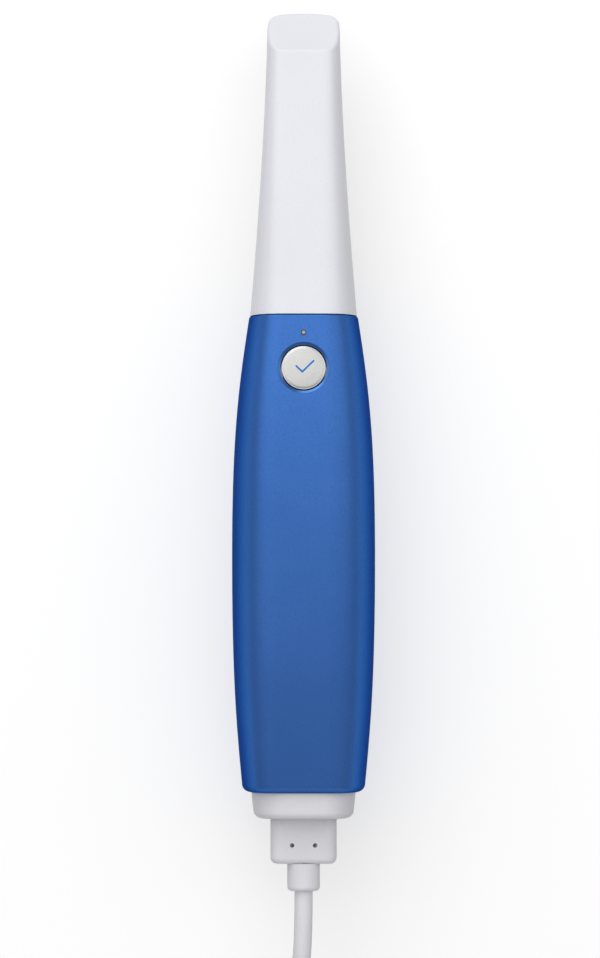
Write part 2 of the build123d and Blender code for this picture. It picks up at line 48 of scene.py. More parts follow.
# camera over the scanner, tip at the top of the picture
cameraView = {
    "aim": (-1.1, -20.1, 26.0),    # middle of the picture, mm
    "distance": 1500.0,
    "lean": 1.6,                   # degrees towards the cable
    "frameHeight": 294.7,          # mm of table that the picture spans at the aim
    "sensor": 24.0,
    "clip": (0.01, 20.0),          # metres
}


def makeCamera(p):
    lean = math.radians(p["lean"])
    data = bpy.data.cameras.new("camera")
    data.sensor_fit = "VERTICAL"
    data.sensor_height = p["sensor"]
    data.lens = data.sensor_height * p["distance"] / p["frameHeight"]
    data.clip_start, data.clip_end = p["clip"]
    camera = bpy.data.objects.new("camera", data)
    offset = Vector((0, -math.sin(lean), math.cos(lean))) * p["distance"]
    camera.location = (Vector(p["aim"]) + offset) * mm
    camera.rotation_euler = (lean, 0, 0)
    scene.collection.objects.link(camera)
    scene.camera = camera


makeCamera(cameraView)
print("camera set")


def addNode(tree, kind, **settings):
    node = tree.nodes.new(kind)
    for key, value in settings.items():
        setattr(node, key, value)
    return node


# soft studio light and a white table
studio = {
    "floorHalf": 6.0,              # metres
    "floorTone": 0.55,             # as the camera, gloss and glass see it
    "floorGlow": 0.52,
    "bounce": 0.25,                # its tone for the light it throws back
    "panels": [                    # place, size, power, the point it faces; metres and watts
        ((-1.1, 0.52, 1.0), (2.2, 1.2), 9.4, (-1.1, 0.52, 0.0)),
        ((1.3, 0.52, 1.0), (2.6, 1.2), 9.6, (1.3, 0.52, 0.0)),
        ((-0.3, 1.0, 0.65), (0.9, 0.5), 3.8, (0.0, 0.0, 0.03)),
        ((0.0, -1.0, 0.6), (2.2, 1.0), 3.4, (0.0, -0.13, 0.03)),
    ],
    "ambient": 0.3,
}


def makeFloor(p):
    bm = bmesh.new()
    bmesh.ops.create_grid(bm, x_segments=1, y_segments=1, size=p["floorHalf"])
    mesh = bpy.data.meshes.new("floor")
    bm.to_mesh(mesh)
    bm.free()
    floor = bpy.data.objects.new("floor", mesh)
    scene.collection.objects.link(floor)
    material = bpy.data.materials.new("tableWhite")
    material.use_nodes = True
    tree = material.node_tree
    tree.nodes.clear()
    output = addNode(tree, "ShaderNodeOutputMaterial")
    path = addNode(tree, "ShaderNodeLightPath")
    seen = addNode(tree, "ShaderNodeMath", operation="MAXIMUM")
    tree.links.new(path.outputs["Is Camera Ray"], seen.inputs[0])
    tree.links.new(path.outputs["Is Glossy Ray"], seen.inputs[1])
    clear = addNode(tree, "ShaderNodeMath", operation="MAXIMUM")
    tree.links.new(seen.outputs[0], clear.inputs[0])
    tree.links.new(path.outputs["Is Transmission Ray"], clear.inputs[1])
    dull = addNode(tree, "ShaderNodeBsdfDiffuse")
    dull.inputs["Color"].default_value = (p["bounce"], p["bounce"], p["bounce"], 1)
    lit = addNode(tree, "ShaderNodeBsdfDiffuse")
    lit.inputs["Color"].default_value = (p["floorTone"], p["floorTone"], p["floorTone"], 1)
    glow = addNode(tree, "ShaderNodeEmission")
    glow.inputs["Strength"].default_value = p["floorGlow"]
    both = addNode(tree, "ShaderNodeAddShader")
    tree.links.new(lit.outputs[0], both.inputs[0])
    tree.links.new(glow.outputs[0], both.inputs[1])
    mix = addNode(tree, "ShaderNodeMixShader")
    tree.links.new(clear.outputs[0], mix.inputs["Fac"])
    tree.links.new(dull.outputs[0], mix.inputs[1])
    tree.links.new(both.outputs[0], mix.inputs[2])
    tree.links.new(mix.outputs[0], output.inputs["Surface"])
    mesh.materials.append(material)


def makeLights(p):
    for i, (place, size, power, faced) in enumerate(p["panels"]):
        lamp = bpy.data.lights.new("softPanel%d" % i, "AREA")
        lamp.shape = "RECTANGLE"
        lamp.size, lamp.size_y = size
        lamp.energy = power
        panel = bpy.data.objects.new(lamp.name, lamp)
        panel.location = place
        panel.rotation_euler = (Vector(place) - Vector(faced)).to_track_quat("Z", "Y").to_euler()
        scene.collection.objects.link(panel)
    world = bpy.data.worlds.new("studioAir")
    world.use_nodes = True
    air = world.node_tree.nodes["Background"]
    air.inputs["Color"].default_value = (1, 1, 1, 1)
    air.inputs["Strength"].default_value = p["ambient"]
    scene.world = world


makeFloor(studio)
makeLights(studio)
print("studio set")


# shared effects
def newGroup(name, inputs, outputs):
    group = bpy.data.node_groups.new(name, "ShaderNodeTree")
    for label, kind in inputs:
        group.interface.new_socket(name=label, in_out="INPUT", socket_type="NodeSocket" + kind)
    for label, kind in outputs:
        group.interface.new_socket(name=label, in_out="OUTPUT", socket_type="NodeSocket" + kind)
    return group, addNode(group, "NodeGroupInput"), addNode(group, "NodeGroupOutput")


def noiseOf(tree, place, size, detail):        # size in mm, from a socket
    scale = addNode(tree, "ShaderNodeMath", operation="DIVIDE")
    scale.inputs[0].default_value = 1 / mm
    tree.links.new(size, scale.inputs[1])
    noise = addNode(tree, "ShaderNodeTexNoise")
    noise.inputs["Detail"].default_value = detail
    tree.links.new(place, noise.inputs["Vector"])
    tree.links.new(scale.outputs[0], noise.inputs["Scale"])
    return noise.outputs["Fac"]


def spread(tree, value, low, high, start, end):
    ramp = addNode(tree, "ShaderNodeMapRange")
    ramp.inputs["From Min"].default_value = low
    ramp.inputs["From Max"].default_value = high
    tree.links.new(value, ramp.inputs["Value"])
    for label, bound in (("To Min", start), ("To Max", end)):
        if isinstance(bound, (int, float)):
            ramp.inputs[label].default_value = bound
        else:
            tree.links.new(bound, ramp.inputs[label])
    return ramp.outputs["Result"]


def blendColors(tree, factor, first, second):
    mix = addNode(tree, "ShaderNodeMix", data_type="RGBA")
    tree.links.new(factor, mix.inputs["Factor"])
    for socket, source in ((mix.inputs[6], first), (mix.inputs[7], second)):       # the colour sockets
        if isinstance(source, tuple):
            socket.default_value = (*source, 1)
        else:
            tree.links.new(source, socket)
    return mix.outputs[2]


# satin skin: slow patches of tone, a fine grain and the gloss that goes with it
satinMix = {
    "grainDetail": 2.0,
    "patchDetail": 3.0,
    "patchBand": (0.3, 0.7),       # part of the noise that the blend runs over
    "patchShare": 0.6,             # most of the shade that a patch takes
    "fleckBand": (0.5, 0.75),
    "fleckShare": 0.8,
    "glossBand": (0.3, 0.7),
}


def satinGroup(p):
    group, start, end = newGroup(
        "satinSkin",
        [("Place", "Vector"), ("Tone", "Color"), ("Shade", "Color"), ("Grain", "Float"),
         ("Patch", "Float"), ("Smooth", "Float"), ("Rough", "Float")],
        [("Color", "Color"), ("Roughness", "Float"), ("Height", "Float")])
    grain = noiseOf(group, start.outputs["Place"], start.outputs["Grain"], p["grainDetail"])
    patch = noiseOf(group, start.outputs["Place"], start.outputs["Patch"], p["patchDetail"])
    cloud = spread(group, patch, *p["patchBand"], 0.0, p["patchShare"])
    broad = blendColors(group, cloud, start.outputs["Tone"], start.outputs["Shade"])
    fleck = spread(group, grain, *p["fleckBand"], 0.0, p["fleckShare"])
    color = blendColors(group, fleck, broad, start.outputs["Shade"])
    group.links.new(color, end.inputs["Color"])
    gloss = spread(group, grain, *p["glossBand"], start.outputs["Smooth"], start.outputs["Rough"])
    group.links.new(gloss, end.inputs["Roughness"])
    group.links.new(grain, end.inputs["Height"])
    return group


# fine lines along one direction: brushing, milling and drawing marks
lineMix = {"detail": 3.0, "toneBand": (0.35, 0.65), "glossBand": (0.3, 0.7)}


def lineGroup(p):
    group, start, end = newGroup(
        "drawnLines",
        [("Place", "Vector"), ("Stretch", "Vector"), ("Size", "Float"), ("Tone", "Color"),
         ("Shade", "Color"), ("Smooth", "Float"), ("Rough", "Float")],
        [("Color", "Color"), ("Roughness", "Float"), ("Height", "Float")])
    pull = addNode(group, "ShaderNodeVectorMath", operation="MULTIPLY")
    group.links.new(start.outputs["Place"], pull.inputs[0])
    group.links.new(start.outputs["Stretch"], pull.inputs[1])
    lines = noiseOf(group, pull.outputs[0], start.outputs["Size"], p["detail"])
    streak = spread(group, lines, *p["toneBand"], 0.0, 1.0)
    color = blendColors(group, streak, start.outputs["Tone"], start.outputs["Shade"])
    group.links.new(color, end.inputs["Color"])
    gloss = spread(group, lines, *p["glossBand"], start.outputs["Smooth"], start.outputs["Rough"])
    group.links.new(gloss, end.inputs["Roughness"])
    group.links.new(lines, end.inputs["Height"])
    return group


# rings round a centre: a turned face
ringMix = {"waver": 0.6}


def ringGroup(p):
    group, start, end = newGroup(
        "turnedRings", [("Place", "Vector"), ("Count", "Float")], [("Mask", "Float"), ("Radius", "Float")])
    rings = addNode(group, "ShaderNodeTexWave", wave_type="RINGS", rings_direction="Z")
    rings.inputs["Distortion"].default_value = p["waver"]
    group.links.new(start.outputs["Place"], rings.inputs["Vector"])
    group.links.new(start.outputs["Count"], rings.inputs["Scale"])
    group.links.new(rings.outputs["Fac"], end.inputs["Mask"])
    flat = addNode(group, "ShaderNodeVectorMath", operation="MULTIPLY")
    flat.inputs[1].default_value = (1, 1, 0)
    group.links.new(start.outputs["Place"], flat.inputs[0])
    reach = addNode(group, "ShaderNodeVectorMath", operation="LENGTH")
    group.links.new(flat.outputs[0], reach.inputs[0])
    group.links.new(reach.outputs["Value"], end.inputs["Radius"])
    return group


satinSkin = satinGroup(satinMix)
drawnLines = lineGroup(lineMix)
turnedRings = ringGroup(ringMix)
print("shared effects built")


# finishes
def fromHex(code):                             # a screen colour as the shader takes it
    parts = [int(code[i:i + 2], 16) / 255 for i in (0, 2, 4)]
    return tuple(c / 12.92 if c <= 0.04045 else ((c + 0.055) / 1.055) ** 2.4 for c in parts)


def newMaterial(name, **sockets):
    material = bpy.data.materials.new(name)
    material.use_nodes = True
    tree = material.node_tree
    bsdf = tree.nodes["Principled BSDF"]
    for label, value in sockets.items():
        bsdf.inputs[label.replace("_", " ")].default_value = value
    place = addNode(tree, "ShaderNodeTexCoord").outputs["Object"]
    return material, tree, bsdf, place


def useGroup(tree, group, place, **values):
    node = addNode(tree, "ShaderNodeGroup", node_tree=group)
    tree.links.new(place, node.inputs["Place"])
    for label, value in values.items():
        node.inputs[label].default_value = (*value, 1) if label in ("Tone", "Shade") else value
    return node


def roughen(tree, bsdf, height, depth):        # depth in mm
    bump = addNode(tree, "ShaderNodeBump")
    bump.inputs["Strength"].default_value = 1.0
    bump.inputs["Distance"].default_value = depth * mm
    tree.links.new(height, bump.inputs["Height"])
    tree.links.new(bump.outputs["Normal"], bsdf.inputs["Normal"])


def useSatin(tree, place, p):
    return useGroup(tree, satinSkin, place, Tone=fromHex(p["tone"]), Shade=fromHex(p["shade"]),
                    Grain=p["grain"], Patch=p["patch"], Smooth=p["gloss"][0], Rough=p["gloss"][1])


def satinMaterial(name, p, **sockets):
    material, tree, bsdf, place = newMaterial(name, **sockets)
    skin = useSatin(tree, place, p)
    tree.links.new(skin.outputs["Color"], bsdf.inputs["Base Color"])
    tree.links.new(skin.outputs["Roughness"], bsdf.inputs["Roughness"])
    roughen(tree, bsdf, skin.outputs["Height"], p["depth"])
    return material


def lineMaterial(name, p, **sockets):
    material, tree, bsdf, place = newMaterial(name, **sockets)
    lines = useGroup(tree, drawnLines, place, Tone=fromHex(p["tone"]), Shade=fromHex(p["shade"]),
                     Size=p["size"], Stretch=p["stretch"], Smooth=p["gloss"][0], Rough=p["gloss"][1])
    tree.links.new(lines.outputs["Color"], bsdf.inputs["Base Color"])
    tree.links.new(lines.outputs["Roughness"], bsdf.inputs["Roughness"])
    roughen(tree, bsdf, lines.outputs["Height"], p["depth"])
    return material


blueEdge = (0.0, 0.02, 0.05, 1)                # what the dyed metal mirrors at a glancing angle
casingBlue = satinMaterial(
    "casingBlue", {"tone": "4473bd", "shade": "3d6bb3", "grain": 0.42, "patch": 26.0, "gloss": (0.42, 0.54),
                   "depth": 0.012}, Metallic=1.0, Specular_Tint=blueEdge)
tipWhite = satinMaterial(
    "tipWhite", {"tone": "ecedf3", "shade": "e6e6ed", "grain": 0.7, "patch": 30.0, "gloss": (0.3, 0.4),
                 "depth": 0.004}, Specular_IOR_Level=0.5)
collarGrey = satinMaterial(
    "collarGrey", {"tone": "ebeaee", "shade": "e5e4e8", "grain": 0.5, "patch": 14.0, "gloss": (0.4, 0.52),
                   "depth": 0.008}, Specular_IOR_Level=0.15)
cableSheath = satinMaterial(
    "cableSheath", {"tone": "efeef2", "shade": "e6e5e9", "grain": 0.6, "patch": 20.0, "gloss": (0.42, 0.56),
                    "depth": 0.01}, Specular_IOR_Level=0.4)
noseBlack = satinMaterial(
    "noseBlack", {"tone": "24252a", "shade": "191a1e", "grain": 0.3, "patch": 12.0, "gloss": (0.34, 0.5),
                  "depth": 0.008}, Metallic=0.6)
sealRubber = satinMaterial(
    "sealRubber", {"tone": "1c1c1e", "shade": "121214", "grain": 0.4, "patch": 6.0, "gloss": (0.55, 0.7),
                   "depth": 0.015})
mouldedBlack = satinMaterial(
    "mouldedBlack", {"tone": "242526", "shade": "1a1a1c", "grain": 0.35, "patch": 9.0, "gloss": (0.42, 0.6),
                     "depth": 0.012})
mirrorSilver = satinMaterial(
    "mirrorSilver", {"tone": "eef0f2", "shade": "e2e5e9", "grain": 2.0, "patch": 9.0, "gloss": (0.02, 0.06),
                     "depth": 0.0003}, Metallic=1.0)
windowGlass = satinMaterial(
    "windowGlass", {"tone": "eef4fb", "shade": "dfe8f4", "grain": 1.5, "patch": 8.0, "gloss": (0.02, 0.06),
                    "depth": 0.0003}, Transmission_Weight=1.0, IOR=1.5)
benchMetal = lineMaterial(
    "benchMetal", {"tone": "c9cbce", "shade": "aeb1b5", "size": 0.9, "stretch": (4.0, 0.12, 4.0),
                   "gloss": (0.26, 0.42), "depth": 0.01}, Metallic=1.0)
plainSteel = lineMaterial(
    "plainSteel", {"tone": "cfd0d2", "shade": "b4b6b9", "size": 0.5, "stretch": (4.0, 0.15, 4.0),
                   "gloss": (0.2, 0.34), "depth": 0.004}, Metallic=1.0)
turnedBrass = lineMaterial(
    "turnedBrass", {"tone": "d9b667", "shade": "c09a4c", "size": 0.5, "stretch": (0.3, 0.3, 5.0),
                    "gloss": (0.22, 0.36), "depth": 0.005}, Metallic=1.0)


# circuit board: solder mask over a net of tracks
boardTracks = {
    "tone": "0d5a2c",
    "shade": "0a4924",
    "track": "2f8a4e",
    "grain": 0.3,
    "patch": 7.0,
    "gloss": (0.25, 0.4),
    "pitch": 2.2,
    "line": 0.06,
    "cell": (2.4, 0.6),            # length and height of a field between tracks, in pitches
    "depth": 0.03,
}


def boardMaterial(p):
    material, tree, bsdf, place = newMaterial("boardGreen", Specular_IOR_Level=0.5)
    skin = useSatin(tree, place, p)
    tracks = addNode(tree, "ShaderNodeTexBrick", offset=0.5, squash=1.0)
    tracks.inputs["Scale"].default_value = 1 / (p["pitch"] * mm)
    tracks.inputs["Mortar Size"].default_value = p["line"]
    tracks.inputs["Brick Width"].default_value = p["cell"][0]
    tracks.inputs["Row Height"].default_value = p["cell"][1]
    tree.links.new(place, tracks.inputs["Vector"])
    color = blendColors(tree, tracks.outputs["Fac"], skin.outputs["Color"], fromHex(p["track"]))
    tree.links.new(color, bsdf.inputs["Base Color"])
    tree.links.new(skin.outputs["Roughness"], bsdf.inputs["Roughness"])
    roughen(tree, bsdf, tracks.outputs["Fac"], p["depth"])
    return material


boardGreen = boardMaterial(boardTracks)
print("plain finishes mixed")


# button frame: on the casing's front, square to it
buttonSeat = {"place": (0.0, 13.3, 44.786), "normal": (0.0, 0.110251, 0.993904)}


def buttonFrame(p):
    normal = Vector(p["normal"]).normalized()
    across = Vector((1, 0, 0))
    along = normal.cross(across)
    turn = Matrix((across, along, normal)).transposed().to_4x4()
    return Matrix.Translation(Vector(p["place"])) @ turn


def centred(tree, place, seat):                # object coordinates seen from the seat's own middle
    slope = math.atan2(-seat["normal"][1], seat["normal"][2])
    mapping = addNode(tree, "ShaderNodeMapping", vector_type="TEXTURE")
    mapping.inputs["Location"].default_value = Vector(seat["place"]) * mm
    mapping.inputs["Rotation"].default_value = (slope, 0, 0)
    tree.links.new(place, mapping.inputs["Vector"])
    return mapping.outputs["Vector"]


def placePiece(bm, name, body, material):
    bmesh.ops.scale(bm, vec=(mm, mm, mm), verts=bm.verts)
    mesh = bpy.data.meshes.new(name)
    bm.to_mesh(mesh)
    bm.free()
    piece = bpy.data.objects.new(name, mesh)
    scene.collection.objects.link(piece)
    mesh.materials.append(material)
    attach(piece, body)
    return piece


def spinProfile(bm, profile, steps):           # (radius, height) pairs round the Z axis
    verts = [bm.verts.new((r, 0, h)) for r, h in profile]
    edges = [bm.edges.new(pair) for pair in zip(verts, verts[1:])]
    bmesh.ops.spin(bm, geom=verts + edges, cent=(0, 0, 0), axis=(0, 0, 1), angle=2 * math.pi,
                   steps=steps, use_merge=True)
    bmesh.ops.remove_doubles(bm, verts=bm.verts, dist=mergeGap)
    bmesh.ops.recalc_face_normals(bm, faces=bm.faces)


def smoothByAngle(mesh, degrees):
    mesh.shade_smooth()
    mesh.set_sharp_from_angle(angle=math.radians(degrees))


# scan button: a satin silver cap with a fine turned edge, and its tick
button = {
    "domeHeight": -0.03,
    "rimHeight": -0.43,
    "faceRadius": 6.4,
    "rim": [(6.44, -0.455), (6.5, -0.455), (6.56, -0.44), (6.62, -0.46), (6.67, -0.51), (6.7, -0.6)],
    "skirt": [(6.70, -3.86), (6.74, -3.90), (7.44, -3.90), (7.50, -3.96), (7.50, -4.54), (7.44, -4.60),
              (1.66, -4.60), (1.60, -4.66), (1.60, -5.14), (1.54, -5.20), (0.0, -5.20)],
    "faceRings": 8,
    "steps": 96,
    "tone": "c8c8c7",
    "shade": "bcbcbb",
    "grain": 0.3,
    "patch": 6.0,
    "gloss": (0.3, 0.42),
    "ringCount": 620.0,            # wave scale: rings 0.5 mm apart
    "ringDepth": 0.0015,
    "edgeTone": "cacac9",
    "edgeGloss": 0.2,
    "edgeFade": (-0.05, 0.15),     # mm from the face's radius
    "smoothAngle": 35,
}


def buttonMaterial(p, seat):
    material, tree, bsdf, place = newMaterial("buttonSilver", Metallic=0.85, Specular_IOR_Level=0.3)
    own = centred(tree, place, seat)
    skin = useSatin(tree, place, p)
    rings = useGroup(tree, turnedRings, own, Count=p["ringCount"])
    fade = [(p["faceRadius"] + way) * mm for way in p["edgeFade"]]
    onRim = spread(tree, rings.outputs["Radius"], *fade, 0.0, 1.0)
    color = blendColors(tree, onRim, skin.outputs["Color"], fromHex(p["edgeTone"]))
    tree.links.new(color, bsdf.inputs["Base Color"])
    gloss = spread(tree, onRim, 0.0, 1.0, skin.outputs["Roughness"], p["edgeGloss"])
    tree.links.new(gloss, bsdf.inputs["Roughness"])
    roughen(tree, bsdf, rings.outputs["Mask"], p["ringDepth"])
    return material


def domeAt(p, r):                              # height of the cap's face at a radius
    return p["domeHeight"] + (p["rimHeight"] - p["domeHeight"]) * (r / p["faceRadius"]) ** 2


def makeButton(p, seat):
    radii = [p["faceRadius"] * i / p["faceRings"] for i in range(p["faceRings"] + 1)]
    face = [(r, domeAt(p, r)) for r in radii]
    bm = bmesh.new()
    spinProfile(bm, face + p["rim"] + p["skirt"], p["steps"])
    bmesh.ops.transform(bm, matrix=buttonFrame(seat), verts=bm.verts)
    piece = placePiece(bm, "buttonCap", "scan_button", buttonMaterial(p, seat))
    smoothByAngle(piece.data, p["smoothAngle"])
    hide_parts("button_cap")


tick = {
    "path": [(-2.24, 0.45), (-0.38, -1.30), (3.03, 2.10)],     # mm from the button's middle
    "stroke": 0.56,
    "lift": 0.025,
    "endRounding": 0.95,           # share of half the stroke
    "endSegments": 5,
    "cuts": 2,
    "finish": {"tone": "2a7ccd", "shade": "2571c2", "grain": 0.2, "patch": 2.0, "gloss": (0.4, 0.55),
               "depth": 0.003},
}


def makeTick(p, b, seat):
    half = p["stroke"] / 2
    corners = [Vector((*c, 0)) for c in p["path"]]
    first = (corners[1] - corners[0]).normalized()
    second = (corners[2] - corners[1]).normalized()
    up = Vector((0, 0, 1))
    mitre = (up.cross(first) + up.cross(second)).normalized()
    mitre *= half / mitre.dot(up.cross(first))
    sides = [up.cross(first) * half, mitre, up.cross(second) * half]
    ends = [corners[0] - first * half, corners[1], corners[2] + second * half]
    bm = bmesh.new()
    verts = [bm.verts.new(c + s) for c, s in zip(ends, sides)]
    edges = [bm.edges.new(pair) for pair in zip(verts, verts[1:])]
    made = bmesh.ops.extrude_edge_only(bm, edges=edges)["geom"]
    for v in [v for v in made if isinstance(v, bmesh.types.BMVert)]:
        nearest = min(range(3), key=lambda i: (v.co - ends[i] - sides[i]).length)
        v.co -= 2 * sides[nearest]
    tips = [v for v in bm.verts if len(v.link_faces) == 1]
    bmesh.ops.bevel(bm, geom=tips, offset=half * p["endRounding"], offset_type="OFFSET",
                    segments=p["endSegments"], profile=0.5, affect="VERTICES", material=-1)
    bmesh.ops.triangulate(bm, faces=bm.faces)
    bmesh.ops.subdivide_edges(bm, edges=bm.edges, cuts=p["cuts"], use_grid_fill=True)
    bmesh.ops.recalc_face_normals(bm, faces=bm.faces)
    if sum(f.normal.z for f in bm.faces) < 0:
        bmesh.ops.reverse_faces(bm, faces=bm.faces)
    shell = bmesh.ops.extrude_face_region(bm, geom=bm.faces[:])["geom"]
    raised = [v for v in shell if isinstance(v, bmesh.types.BMVert)]
    bmesh.ops.translate(bm, vec=(0, 0, 2 * p["lift"]), verts=raised)
    for v in bm.verts:                         # lay it on the cap's dome
        v.co.z += domeAt(b, math.hypot(v.co.x, v.co.y)) - p["lift"]
    bmesh.ops.recalc_face_normals(bm, faces=bm.faces)
    bmesh.ops.transform(bm, matrix=buttonFrame(seat), verts=bm.verts)
    ink = satinMaterial("tickInk", p["finish"], Specular_IOR_Level=0.15)
    placePiece(bm, "tick", "scan_button", ink)


# bezel: the shallow turned slope of the casing round the button, smoother than the blasted blue; its own
# blue, greyer and a touch darker than the casing's, is a painted sheen that sets how the ring's highlight
# reads
bezel = {
    "finish": {"tone": "4971b0", "shade": "436aa7", "grain": 0.3, "patch": 12.0, "gloss": (0.29, 0.37),
               "depth": 0.003},
    "profile": [(7.9, -0.12), (7.86, -0.14), (7.14, -0.43), (7.06, -0.47), (7.0, -0.55), (7.0, -0.98),
                (7.3, -1.1), (8.05, -0.35)],
    "steps": 96,
    "smoothAngle": 40,
}


def makeBezel(p, seat):
    bm = bmesh.new()
    spinProfile(bm, p["profile"] + p["profile"][:1], p["steps"])
    bmesh.ops.transform(bm, matrix=buttonFrame(seat), verts=bm.verts)
    # painted sheen: the ring's blue differs from the casing's only to tune its highlight; the lower
    # roughness is the turned finish
    turnedBlueSheen = satinMaterial("turnedBlueSheen", p["finish"], Metallic=1.0, Specular_Tint=blueEdge)
    piece = placePiece(bm, "buttonBezel", "handpiece", turnedBlueSheen)
    smoothByAngle(piece.data, p["smoothAngle"])


makeButton(button, buttonSeat)
makeBezel(bezel, buttonSeat)
makeTick(tick, button, buttonSeat)
print("button made")


# status light: milky light pipe; the dark ring round its edge is painted shade of the gap it sits in
statusLight = {
    "place": (0.0, 24.15, 43.3),
    "normal": (0.0, 0.14, 0.99),
    "core": 0.42,                  # radius where the milky tone ends
    # radius where the painted shade of the gap round the lens is full
    "edge": 0.62,
    "tone": "b9ad98",
    "shade": "a4977f",
    # painted shade: the dark of the gap round the lens, not a part of its own
    "seat": "2a2c33",
    "grain": 0.25,
    "patch": 1.2,
    "gloss": (0.2, 0.34),
    "ringCount": 900.0,            # wave scale: rings 0.35 mm apart
    "ringDepth": 0.002,
}


def statusMaterial(p):
    material, tree, bsdf, place = newMaterial("statusClear", Specular_IOR_Level=0.5, Coat_Weight=0.3)
    own = centred(tree, place, p)
    skin = useSatin(tree, place, p)
    rings = useGroup(tree, turnedRings, own, Count=p["ringCount"])
    # painted shade: the lens darkens from its core out to its edge, standing in for the shadow of its gap
    rim = spread(tree, rings.outputs["Radius"], p["core"] * mm, p["edge"] * mm, 0.0, 1.0)
    color = blendColors(tree, rim, skin.outputs["Color"], fromHex(p["seat"]))
    tree.links.new(color, bsdf.inputs["Base Color"])
    tree.links.new(skin.outputs["Roughness"], bsdf.inputs["Roughness"])
    roughen(tree, bsdf, rings.outputs["Mask"], p["ringDepth"])
    return material


statusClear = statusMaterial(statusLight)


# tie: a woven band wound once round one leg of the hank, its end pressed down on itself
tieBand = {
    "middle": (19.6, -278.0, 12.5),
    "inside": (11.8, 23.0),
    "corner": 2.6,
    "thickness": 1.0,
    "width": 10.0,
    "overlap": 0.075,              # share of a turn that lies double, over the top
    "startTurn": 0.02,
    "climb": (0.97, 0.05),         # turn where the end starts to rise, and how long it takes
    "doubleGap": 0.06,
    "along": 120,
    "across": 8,
    "tone": "33343a",
    "shade": "1f2024",
    "thread": 0.45,
    "waveScale": 0.314,            # puts the bands of a wave 1 mm apart
    "waver": 0.8,
    "waverScale": 2.0,
    "gloss": (0.95, 0.75),
    "weaveDepth": 0.12,
    "smoothAngle": 40,
}


def bandPoint(p, turn, lift):                  # a point round the leg; turn 0 is at the top's left end
    half = [p["inside"][0] / 2 + lift, p["inside"][1] / 2 + lift]
    r = p["corner"] + lift
    runs = [2 * (half[0] - r), math.pi / 2 * r, 2 * (half[1] - r), math.pi / 2 * r] * 2
    ways = [(1, 0), (0, -1), (-1, 0), (0, 1)]
    left = (turn % 1.0) * sum(runs)
    x, z = -(half[0] - r), half[1]
    for i, run in enumerate(runs):
        way = ways[(i // 2) % 4]
        step = min(left, run)
        if i % 2 == 0:
            x += way[0] * step
            z += way[1] * step
        else:
            bend = step / r
            inner = (way[1], -way[0])          # towards the band's middle
            x += r * (way[0] * math.sin(bend) + inner[0] * (1 - math.cos(bend)))
            z += r * (way[1] * math.sin(bend) + inner[1] * (1 - math.cos(bend)))
        left -= step
        if left <= 0:
            break
    return x, z


def tieMaterial(p):
    material, tree, bsdf, _ = newMaterial("tieFabric", Sheen_Weight=0.4, Sheen_Roughness=0.5)
    thread = addNode(tree, "ShaderNodeUVMap", uv_map="bandCloth").outputs["UV"]
    ribs = []
    for direction in ("X", "Y"):
        wave = addNode(tree, "ShaderNodeTexWave", wave_type="BANDS", bands_direction=direction,
                       wave_profile="SIN")
        wave.inputs["Scale"].default_value = p["waveScale"] / p["thread"]
        wave.inputs["Distortion"].default_value = p["waver"]
        wave.inputs["Detail Scale"].default_value = p["waverScale"]
        tree.links.new(thread, wave.inputs["Vector"])
        ribs.append(wave.outputs["Fac"])
    weave = addNode(tree, "ShaderNodeMath", operation="MULTIPLY")
    tree.links.new(ribs[0], weave.inputs[0])
    tree.links.new(ribs[1], weave.inputs[1])
    color = blendColors(tree, weave.outputs[0], fromHex(p["shade"]), fromHex(p["tone"]))
    tree.links.new(color, bsdf.inputs["Base Color"])
    tree.links.new(spread(tree, weave.outputs[0], 0.0, 1.0, *p["gloss"]), bsdf.inputs["Roughness"])
    roughen(tree, bsdf, weave.outputs[0], p["weaveDepth"])
    return material


def makeTie(p):
    bm = bmesh.new()
    bmesh.ops.create_grid(bm, x_segments=p["along"], y_segments=p["across"], size=0.5)
    cloth = bm.loops.layers.uv.new("bandCloth")
    girth = 2 * (p["inside"][0] + p["inside"][1])
    for face in bm.faces:
        for loop in face.loops:
            loop[cloth].uv = ((loop.vert.co.x + 0.5) * girth, (loop.vert.co.y + 0.5) * p["width"])
    for v in bm.verts:
        turn = (v.co.x + 0.5) * (1 + p["overlap"]) + p["startTurn"]
        double = min(max((turn - p["climb"][0]) / p["climb"][1], 0), 1)
        lift = (p["thickness"] + p["doubleGap"]) * double * double * (3 - 2 * double)
        x, z = bandPoint(p, turn, lift)
        y = v.co.y * p["width"]
        v.co = Vector(p["middle"]) + Vector((x, y, z))
    bmesh.ops.recalc_face_normals(bm, faces=bm.faces)
    if sum((f.calc_center_median() - Vector(p["middle"])).dot(f.normal) for f in bm.faces) < 0:
        bmesh.ops.reverse_faces(bm, faces=bm.faces)
    bmesh.ops.solidify(bm, geom=bm.faces[:], thickness=-p["thickness"])
    piece = placePiece(bm, "tieBand", "cable_plug", tieMaterial(p))
    smoothByAngle(piece.data, p["smoothAngle"])
    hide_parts("coil_tie")
    return piece


# far plug's grip: a rounded moulding with finger ribs
farGrip = {
    "start": (-19.6, -276.0, 26.9),
    "half": (5.8, 3.2),
    "squareness": 4.0,
    "segments": 64,
    "smoothAngle": 50,
    # distance from the cable's end, and how far in the outline stands there
    "steps": [(0.0, 2.3), (0.0, 1.3), (0.12, 0.75), (0.45, 0.3), (1.1, 0.0),
              (4.2, 0.0), (4.5, 0.42), (5.1, 0.42), (5.4, 0.0),
              (6.6, 0.0), (6.9, 0.42), (7.5, 0.42), (7.8, 0.0),
              (9.0, 0.0), (9.3, 0.42), (9.9, 0.42), (10.2, 0.0),
              (11.4, 0.0), (11.7, 0.42), (12.3, 0.42), (12.6, 0.0),
              (17.6, 0.0), (18.45, 0.3), (18.88, 0.75), (19.0, 1.3), (19.0, 2.0)],
}


